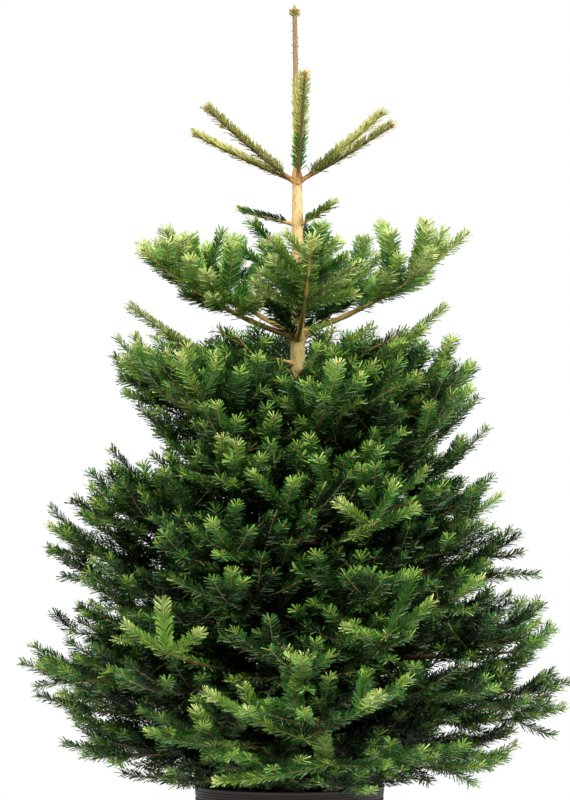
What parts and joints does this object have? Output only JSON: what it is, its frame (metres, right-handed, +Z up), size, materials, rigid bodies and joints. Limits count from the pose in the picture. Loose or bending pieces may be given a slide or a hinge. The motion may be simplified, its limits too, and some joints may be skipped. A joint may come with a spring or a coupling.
{
  "type": "potted living christmas tree",
  "caption": "Young undecorated fir with a bare leader, whorls of boughs and a dense needled crown, growing in a round dark nursery pot.",
  "frame": {"origin": "middle of the pot's flat underside, which stands on the floor", "axes": "+Z up the trunk, -Y towards the tree's front, +X to the right of someone who faces the front"},
  "size_m": [0.9977, 1.0027, 1.672],
  "materials": {
    "bark": "matte",
    "needles": "satin",
    "pot_plastic": "satin",
    "potting_soil": "matte"
  },
  "bodies": {
    "root": {"bough_whorl2_1": "bark", "bough_whorl2_2": "bark", "bough_whorl2_3": "bark", "bough_whorl2_4": "bark", "bough_whorl2_5": "bark", "bough_whorl5_1": "bark", "bough_whorl5_2": "bark", "bough_whorl5_3": "bark", "bough_whorl5_4": "bark", "bough_whorl5_5": "bark", "bough_whorl5_6": "bark", "foliage_leader_ring_1": "needles", "foliage_leader_ring_2": "needles", "foliage_leader_ring_3": "needles", "foliage_leader_ring_4": "needles", "foliage_leader_ring_5": "needles", "foliage_stem_twigs_1": "needles", "foliage_stem_twigs_2": "needles", "foliage_whorl2_1": "needles", "foliage_whorl2_2": "needles", "foliage_whorl2_3": "needles", "foliage_whorl2_4": "needles", "foliage_whorl2_5": "needles", "foliage_whorl3_1": "needles", "foliage_whorl3_2": "needles", "foliage_whorl3_3": "needles", "foliage_whorl3_4": "needles", "foliage_whorl3_5": "needles", "foliage_whorl4_1": "needles", "foliage_whorl4_2": "needles", "foliage_whorl4_3": "needles", "foliage_whorl4_4": "needles", "foliage_whorl4_5": "needles", "foliage_whorl5_1": "needles", "foliage_whorl5_2": "needles", "foliage_whorl5_3": "needles", "foliage_whorl5_4": "needles", "foliage_whorl5_5": "needles", "foliage_whorl5_6": "needles", "foliage_whorl6_1": "needles", "foliage_whorl6_2": "needles", "foliage_whorl6_3": "needles", "foliage_whorl6_4": "needles", "foliage_whorl6_5": "needles", "foliage_whorl6_6": "needles", "foliage_whorl7_1": "needles", "foliage_whorl7_2": "needles", "foliage_whorl7_3": "needles", "foliage_whorl7_4": "needles", "foliage_whorl7_5": "needles", "foliage_whorl7_6": "needles", "foliage_whorl8_1": "needles", "foliage_whorl8_2": "needles", "foliage_whorl8_3": "needles", "foliage_whorl8_4": "needles", "foliage_whorl8_5": "needles", "foliage_whorl8_6": "needles", "pot": "pot_plastic", "potting_soil": "potting_soil", "trunk": "bark"}
  },
  "joints": []
}
